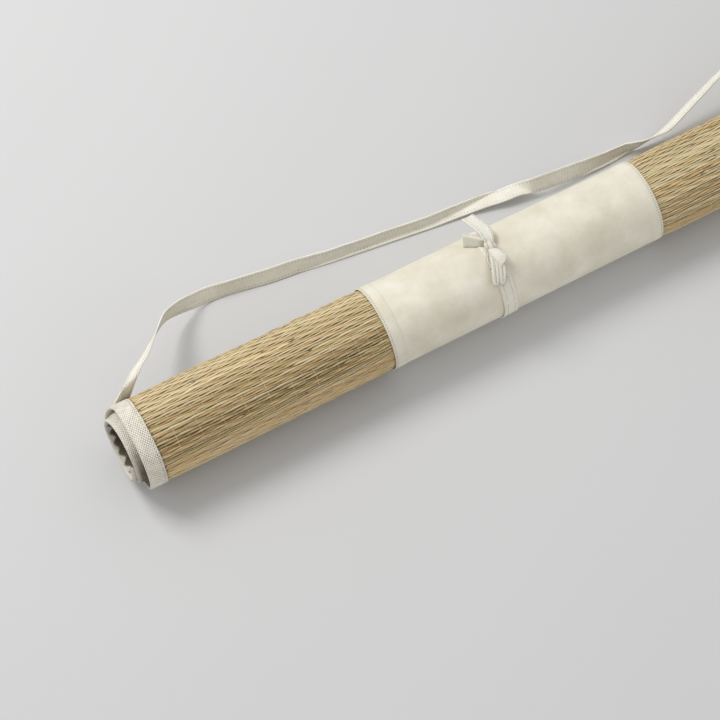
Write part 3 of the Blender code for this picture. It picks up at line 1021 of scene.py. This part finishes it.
def square_to(way, across):
    """The direction across, made square to the way of the tape."""
    return (across - way * across.dot(way)).normalized()


def lay_tape(name, lines, size, shade_of=unshaded, look=TAPE, ring=False):
    """A tape laid through rows of points; size is its width and thickness."""
    wide, thick = size
    across = len(lines[0]) - 1
    length = length_of([line[across // 2] for line in lines])

    def place(u, v):
        return pick(pick(lines, v), u)

    mesh = laid_grid(across, len(lines) - 1, (wide, length), place, shade_of)
    if ring:
        close_seams(mesh, 1e-6)
    return finish_piece(name, mesh, look, thick, 0.0), length


def sew_lines(mesh, lines, column, thick):
    """A row of stitches on both faces of a tape, along one column of its points."""
    path = [line[column] for line in lines]
    travelled = STITCH_STEP * 0.8
    for index in range(1, len(path) - 1):
        travelled += (path[index] - path[index - 1]).length
        if travelled < STITCH_STEP:
            continue
        travelled -= STITCH_STEP
        way = run_of(path, index)
        aside = lines[index][column + 1] - lines[index][column - 1]
        face = way.cross(aside).normalized()
        for side in (1.0, -1.0):
            out = face * side
            spot = path[index] + out * (thick / 2 + 0.00005)
            if spot.z > STITCH_HALF[2]:
                add_stitch(mesh, spot, way, out)


def sew_tape(name, lines, columns, thick):
    """The rows of stitches of one tape, as one piece."""
    mesh = bmesh.new()
    for column in columns:
        sew_lines(mesh, lines, column, thick)
    return finish_stitches(name, mesh)


# %% [markdown]
# ## The carrying strap
# The strap is sewn to the back of both bindings. It leaves the left one upwards, bends over
# away from the roll, comes down to the floor and lies along it on its edge, leaning back, with
# one place where it lies flat and creases. Each row of the table is the edge nearer the roll,
# the height of the lowest point, the direction across, and how much of the width lies level.

# %% Strap
STRAP = (
    (-445.5, 44.0, 24.5, 1.0, 0.0, 0.0, 0),
    (-445.5, 47.6, 34.0, 1.0, 0.0, 0.0, 0),
    (-445.5, 49.2, 44.0, 1.0, 0.0, 0.0, 0),
    (-444.3, 50.4, 51.0, 1.0, 0.0, 0.0, 0),
    (-441.8, 50.8, 57.5, 1.0, 0.02, 0.0, 0),
    (-437.6, 51.9, 63.0, 0.98, 0.05, 0.08, 0),
    (-432.9, 54.0, 66.5, 0.93, 0.08, 0.2, 0),
    (-425.0, 59.5, 68.0, 0.8, -0.1, 0.5, 0),
    (-416.5, 67.0, 67.0, 0.62, -0.25, 0.72, 0),
    (-401.3, 78.1, 61.0, 0.45, -0.3, 0.8, 0),
    (-389.0, 89.0, 55.0, 0.4, -0.2, 0.85, 0),
    (-371.0, 105.0, 44.0, 0.3, 0.0, 0.9, 0),
    (-354.0, 119.5, 32.0, 0.15, 0.1, 0.95, 0),
    (-341.5, 126.0, 22.0, 0.0, 0.2, 0.98, 0),
    (-325.5, 130.0, 12.0, 0.0, 0.45, 0.9, 0),
    (-310.5, 132.0, 5.0, 0.0, 0.6, 0.8, 0),
    (-294.0, 133.5, 1.0, 0.0, 0.62, 0.78, 0),
    (-270.0, 131.4, 0.0, 0.0, 0.47, 0.88, 0),
    (-225.0, 122.6, 0.0, 0.0, 0.6, 0.8, 0),
    (-191.0, 118.4, 0.0, 0.0, 0.54, 0.84, 1),
    (-157.0, 113.0, 0.0, 0.0, 0.4, 0.92, 3),
    (-100.0, 105.6, 0.0, 0.0, 0.34, 0.94, 5),
    (-42.0, 98.0, 0.0, 0.0, 0.32, 0.95, 6),
    (-6.0, 94.0, 1.0, 0.0, 0.4, 0.92, 9),
    (25.0, 89.5, 3.0, 0.0, 0.45, 0.9, 14),
    (46.0, 85.0, 5.0, 0.0, 0.6, 0.8, 18),
    (62.0, 83.0, 6.5, 0.0, 0.6, 0.8, 18),
    (78.0, 80.0, 7.0, 0.0, 0.57, 0.82, 0),
    (103.0, 76.8, 6.0, 0.0, 0.66, 0.75, 0),
    (122.0, 75.6, 4.0, 0.0, 0.66, 0.75, 0),
    (159.5, 74.0, 1.0, 0.0, 0.5, 0.87, 3),
    (176.0, 74.5, 0.0, 0.0, 0.33, 0.95, 5),
    (195.0, 76.0, 1.0, 0.0, 0.1, 0.99, 4),
    (210.0, 77.0, 3.0, 0.0, -0.2, 0.98, 0),
    (228.0, 78.0, 7.0, 0.0, -0.45, 0.9, 0),
    (248.0, 81.0, 13.0, -0.2, -0.7, 0.7, 0),
    (290.0, 92.0, 28.0, -0.3, -0.7, 0.6, 0),
    (340.0, 101.0, 46.0, -0.4, -0.6, 0.7, 0),
    (385.0, 92.0, 61.0, -0.45, -0.3, 0.8, 0),
    (416.5, 67.0, 67.0, -0.62, -0.25, 0.72, 0),
    (425.0, 59.0, 68.0, -0.8, -0.1, 0.5, 0),
    (432.9, 53.0, 66.5, -0.93, 0.08, 0.2, 0),
    (437.6, 51.0, 63.0, -0.98, 0.05, 0.08, 0),
    (441.8, 50.0, 57.5, -1.0, 0.02, 0.0, 0),
    (444.3, 49.4, 51.0, -1.0, 0.0, 0.0, 0),
    (445.5, 48.4, 44.0, -1.0, 0.0, 0.0, 0),
    (445.5, 46.9, 34.0, -1.0, 0.0, 0.0, 0),
    (445.5, 43.4, 24.5, -1.0, 0.0, 0.0, 0),
)
LEVEL_ACROSS = (0.0, 0.985, -0.174)
STRAP_WIDTH = 0.018
STRAP_THICK = 0.0015
STRAP_PARTS = 12


def strap_lines():
    """Rows of points across the strap, each set down so its lowest point is at its height."""
    rows = smooth_rows(STRAP, 0.0038)
    spots = [Vector(row[:3]) * MM for row in rows]
    share = STRAP_WIDTH / STRAP_PARTS
    lines = []
    for index, row in enumerate(rows):
        way = run_of(spots, index)
        leaning = Vector(row[3:6]).normalized()
        level = square_to(way, Vector(LEVEL_ACROSS))
        line, faces = [spots[index]], []
        for part in range(STRAP_PARTS):
            flat = min(1.0, max(0.0, (row[6] * MM - part * share) / share))
            heading = (leaning * (1.0 - flat) + level * flat).normalized()
            faces.append(way.cross(heading).normalized())
            line.append(line[-1] + heading * share)
        bulge = 0.0005 * wander(17.0, index, 0.11)
        for part in range(1, STRAP_PARTS):
            crown = math.sin(math.pi * part / STRAP_PARTS)
            line[part] = line[part] + faces[part] * bulge * crown
        lowest = min(p.z - abs(f.z) * STRAP_THICK / 2 for p, f in zip(line, faces + faces[-1:]))
        lift = Vector((0.0, 0.0, max(0.0, spots[index].z) - lowest))
        lines.append([p + lift for p in line])
    return lines


strap_rows = strap_lines()
strap_tape, STRAP_LENGTH = lay_tape("strap_tape", strap_rows, (STRAP_WIDTH, STRAP_THICK))
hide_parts("strap")
strap_stitches = sew_tape("strap_stitches", strap_rows, (2, STRAP_PARTS - 2), STRAP_THICK)
print("the strap is", round(STRAP_LENGTH, 3), "m long")

# %% [markdown]
# ## The tie
# A narrower tape of the same cotton goes once round the panel and is knotted on top. The ring
# lies close to the panel and is seen from below the knot down the front. It has two rows of
# stitches like the strap.

# %% Ring of the tie
TIE_WIDTH = 0.017
TIE_THICK = 0.0012
TIE_SIZE = (TIE_WIDTH, TIE_THICK)
TIE_NEAR = 0.0028
KNOT_ANGLE = 82.0
RING_PARTS = 8
RING_ROWS = 96
RING_SWAY = 0.0008
RING_LIFT = 0.0009


def band_point(x, angle, offset):
    """A point on the ring, at an angle in degrees from +Y up over the roll."""
    radius, axis, least, _ = station(TIE_X)
    reach = radius + offset
    height = max(axis + reach * math.sin(math.radians(angle)), least - offset, TIE_THICK / 2)
    return Vector((x, reach * math.cos(math.radians(angle)), height))


def ring_lines():
    """Rows across the ring, with a slight sway along it and a lifted left edge."""
    lines = []
    for index in range(RING_ROWS + 1):
        way = index / RING_ROWS
        angle = KNOT_ANGLE - 360.0 * way
        free = 1.0 - abs(2.0 * way - 1.0)
        front = ease(way, 0.55, 0.75) * (1.0 - ease(way, 0.93, 1.0))
        sway = RING_SWAY * math.sin(math.radians(angle) * 2.0) * free
        line = []
        for part in range(RING_PARTS + 1):
            w = 2.0 * part / RING_PARTS - 1.0
            lift = RING_LIFT * front * max(0.0, -w) ** 1.5
            line.append(band_point(
                TIE_X + w * TIE_WIDTH / 2 + sway, angle, TIE_NEAR + TIE_THICK / 2 + lift))
        lines.append(line)
    return lines


ring_rows = ring_lines()
tie_ring, RING_LENGTH = lay_tape("tie_ring", ring_rows, TIE_SIZE, look=TIE, ring=True)
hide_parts("tie")
ring_stitches = sew_tape("ring_stitches", ring_rows, (2, RING_PARTS - 2), TIE_THICK)
print("the ring is", round(RING_LENGTH, 3), "m round")

# %% [markdown]
# ## Knot, free ends and bow
# Above the ring sits a small firm knot. One end of the tape runs up and back over the top,
# one runs left and is folded lengthwise, and one short end points down the front with its
# corner cut slanting. Beneath it hang two narrow loops of folded tape, with a smaller one at
# their left. The tables give the middle of the tape in millimetres, its width, and the
# direction across.

# %% Ends and bow
ENDS = {
    "tie_end_up": (
        (-22.0, 8.0, 96.0, 8.0, 1.0, 0.0, 0.0),
        (-20.5, 15.0, 99.5, 13.0, 0.98, 0.0, -0.2),
        (-20.5, 24.5, 101.0, 17.0, 0.94, 0.0, -0.34),
        (-24.0, 37.0, 99.5, 17.0, 0.94, 0.0, -0.34),
        (-27.0, 48.0, 96.0, 17.0, 0.94, 0.0, -0.34),
    ),
    "tie_end_left": (
        (-22.0, 9.5, 95.0, 6.0, 0.3, 0.45, 0.8),
        (-29.5, 14.5, 94.5, 9.0, 0.27, 0.5, 0.82),
        (-36.5, 20.0, 93.5, 12.0, 0.27, 0.5, 0.82),
        (-44.0, 26.5, 92.0, 14.0, 0.27, 0.5, 0.82),
    ),
    "tie_end_low": (
        (-24.0, 3.0, 97.5, 7.5, 0.95, -0.2, 0.1),
        (-23.5, -4.5, 100.6, 11.5, 0.93, -0.25, 0.1),
        (-21.6, -11.5, 100.0, 13.5, 0.92, -0.2, 0.1),
        (-19.4, -18.0, 97.2, 13.5, 0.92, -0.2, 0.1),
    ),
    "tie_bow": (
        (-26.2, 1.4, 97.0, 3.4, -0.95, 0.30, -0.09),
        (-29.6, -8.4, 97.4, 4.2, -0.95, 0.31, -0.08),
        (-32.3, -16.5, 95.4, 4.4, -0.93, 0.37, -0.06),
        (-35.4, -23.5, 92.0, 4.4, -0.91, 0.40, -0.04),
        (-37.3, -28.5, 88.5, 4.4, -0.93, 0.35, -0.07),
        (-37.7, -31.0, 86.3, 4.0, -0.98, 0.13, -0.17),
        (-37.0, -32.2, 85.1, 3.6, -0.26, -0.87, -0.42),
        (-35.4, -31.4, 85.9, 4.0, 0.71, -0.70, -0.13),
        (-33.8, -29.4, 87.9, 4.4, 0.86, -0.50, -0.02),
        (-31.7, -25.0, 91.2, 4.4, 0.91, -0.42, 0.03),
        (-28.9, -18.1, 94.9, 4.4, 0.93, -0.35, 0.07),
        (-26.4, -10.0, 97.1, 4.2, 0.96, -0.28, 0.10),
        (-23.7, -0.7, 97.0, 3.4, 0.96, -0.25, 0.11),
    ),
    "tie_bow_right": (
        (-23.2, -1.3, 96.5, 3.4, -0.98, 0.12, -0.17),
        (-24.5, -10.5, 96.2, 4.2, -0.98, 0.14, -0.16),
        (-25.8, -19.3, 94.2, 4.4, -0.96, 0.26, -0.11),
        (-28.3, -26.6, 90.7, 4.4, -0.92, 0.39, -0.05),
        (-30.1, -30.5, 87.5, 4.4, -0.91, 0.42, -0.03),
        (-30.8, -32.6, 85.5, 4.0, -0.97, 0.23, -0.12),
        (-30.4, -33.8, 84.3, 3.6, -0.33, -0.84, -0.43),
        (-28.9, -33.2, 85.1, 4.0, 0.68, -0.72, -0.14),
        (-27.1, -31.1, 87.1, 4.4, 0.81, -0.59, -0.06),
        (-24.9, -28.0, 89.8, 4.4, 0.88, -0.47, 0.00),
        (-22.3, -21.9, 93.1, 4.4, 0.96, -0.27, 0.10),
        (-21.5, -14.2, 95.3, 4.2, 0.98, -0.09, 0.18),
        (-21.0, -4.4, 96.4, 3.4, 0.98, -0.05, 0.20),
    ),
    "tie_loop": (
        (-26.4, 2.1, 96.0, 2.0, 0.66, -0.74, -0.16),
        (-29.9, -1.0, 96.5, 2.0, 0.75, -0.66, -0.11),
        (-32.8, -4.9, 96.6, 2.0, 0.90, -0.44, 0.02),
        (-34.1, -9.2, 96.0, 2.0, 0.97, -0.20, 0.14),
        (-34.4, -14.1, 94.5, 2.0, 0.98, -0.13, 0.17),
        (-34.8, -17.8, 93.0, 2.0, 0.98, -0.15, 0.16),
    ),
}
# How far the middle stands proud, how much the tip slants, how wide the folded-over part is.
CUTS = {
    "tie_end_up": (0.0009, 0.10, 0.0),
    "tie_end_left": (0.0, 0.10, 0.0055),
    "tie_end_low": (0.0010, -0.25, 0.0),
    "tie_bow": (-0.0016, 0.0, 0.0),
    "tie_bow_right": (-0.0016, 0.0, 0.0),
    "tie_loop": (0.0006, 0.0, 0.0),
}
FOLD_WAY = (0.50, 0.85, -0.15)
END_PARTS = 8


def end_lines(name):
    """Rows across one free end: crowned, and cut with a slant at its tip."""
    rows = smooth_rows(ENDS[name], 0.0015)
    spots = [Vector(row[:3]) * MM for row in rows]
    count = len(rows) - 1
    lines = []
    for index, row in enumerate(rows):
        way = run_of(spots, index)
        across = square_to(way, Vector(row[4:7]))
        face = way.cross(across)
        half = row[3] * MM / 2
        crown, slant, folded = CUTS[name]
        level = END_PARTS - 2 if folded else END_PARTS
        line = []
        for part in range(level + 1):
            w = 2.0 * part / level - 1.0
            pull = slant * half * w * (index / count) ** 2
            line.append(
                spots[index] + across * half * w + face * crown * (1.0 - w * w) + way * pull)
        for part in range(1, END_PARTS - level + 1):
            over = square_to(way, Vector(FOLD_WAY)) * folded * part / (END_PARTS - level)
            line.append(line[level] + over * (0.3 + 0.7 * (1.0 - index / count)))
        lines.append(line)
    return lines


def strand_painted_shade(u, v):
    """Painted shade on the narrow strands of the bow, along both edges and close to the knot."""
    return 0.30 * abs(2.0 * u - 1.0) ** 3 + 0.35 * (1.0 - ease(min(v, 1.0 - v), 0.0, 0.16))


def left_end_painted_shade(u, v):
    """Painted shade on the folded end's front leg, most of all beside the knot."""
    return (0.20 + 0.5 * (1.0 - ease(v, 0.0, 0.5))) * (1.0 - ease(u, 0.68, 0.76))


END_PAINTED_SHADE = {"tie_end_left": left_end_painted_shade, "tie_end_up": unshaded, "tie_end_low": unshaded}
tie_parts = []
for end_name in ENDS:
    end_rows = end_lines(end_name)
    shade_rule = END_PAINTED_SHADE.get(end_name, strand_painted_shade)
    end_look = TAPE if end_name == "tie_end_up" else TIE
    tie_part, end_length = lay_tape(end_name, end_rows, TIE_SIZE, shade_rule, end_look)
    seams = sew_tape(end_name + "_stitches", end_rows, (1, END_PARTS - 1), TIE_THICK)
    tie_parts += [tie_part, seams]
    print(end_name, "is", round(end_length, 3), "m long")

# %% [markdown]
# The knot itself is tape pulled tight: a small ball, longer across the roll's front, with
# slanting grooves where one pass of tape lies against the next.

# %% Knot
KNOT_PLACE = (-23.2, 5.9, 98.0)
KNOT_AXES = ((0.52, -0.84, 0.14), (0.82, 0.54, 0.18), (-0.23, 0.02, 0.97))
KNOT_HALF = (0.0074, 0.0052, 0.0044)
KNOT_GROOVE = 0.17


def make_knot():
    mesh = bmesh.new()
    flat = mesh.loops.layers.uv.new("flat")
    painted_shade = mesh.verts.layers.float.new("painted_shade")
    bmesh.ops.create_uvsphere(mesh, u_segments=40, v_segments=24, radius=1.0)
    for face in mesh.faces:
        for corner in face.loops:
            spot = corner.vert.co
            corner[flat].uv = (spot.x * KNOT_HALF[0], math.atan2(spot.z, spot.y) * KNOT_HALF[1])
    for vert in mesh.verts:
        passes = abs(math.sin(2.5 * vert.co.x + 1.9 * vert.co.y + 1.3))
        size = 1.0 - KNOT_GROOVE * (1.0 - passes ** 0.5)
        # The knot is slightly darker all over, with painted shade in its grooves and on its
        # underside.
        vert[painted_shade] = 0.12 + 0.60 * (1.0 - passes) ** 4 + 0.5 * max(0.0, 0.3 - vert.co.z)
        spot = Vector(KNOT_PLACE) * MM
        for part, half, axis in zip(vert.co, KNOT_HALF, KNOT_AXES):
            spot += Vector(axis).normalized() * part * half * size
        vert.co = spot
    return finish_piece("tie_knot", mesh, TIE)


tie_parts.append(make_knot())

# %% [markdown]
# ## Flat lengths of three cloths
# The lengths below are those of the mat, the canvas panel and the tie's ring, in metres, rounded
# to millimetres.

# %% Flat sizes and the end
print("flat lengths:", round(MAT_LENGTH, 3), round(WRAP_LENGTH, 3), round(RING_LENGTH, 3))
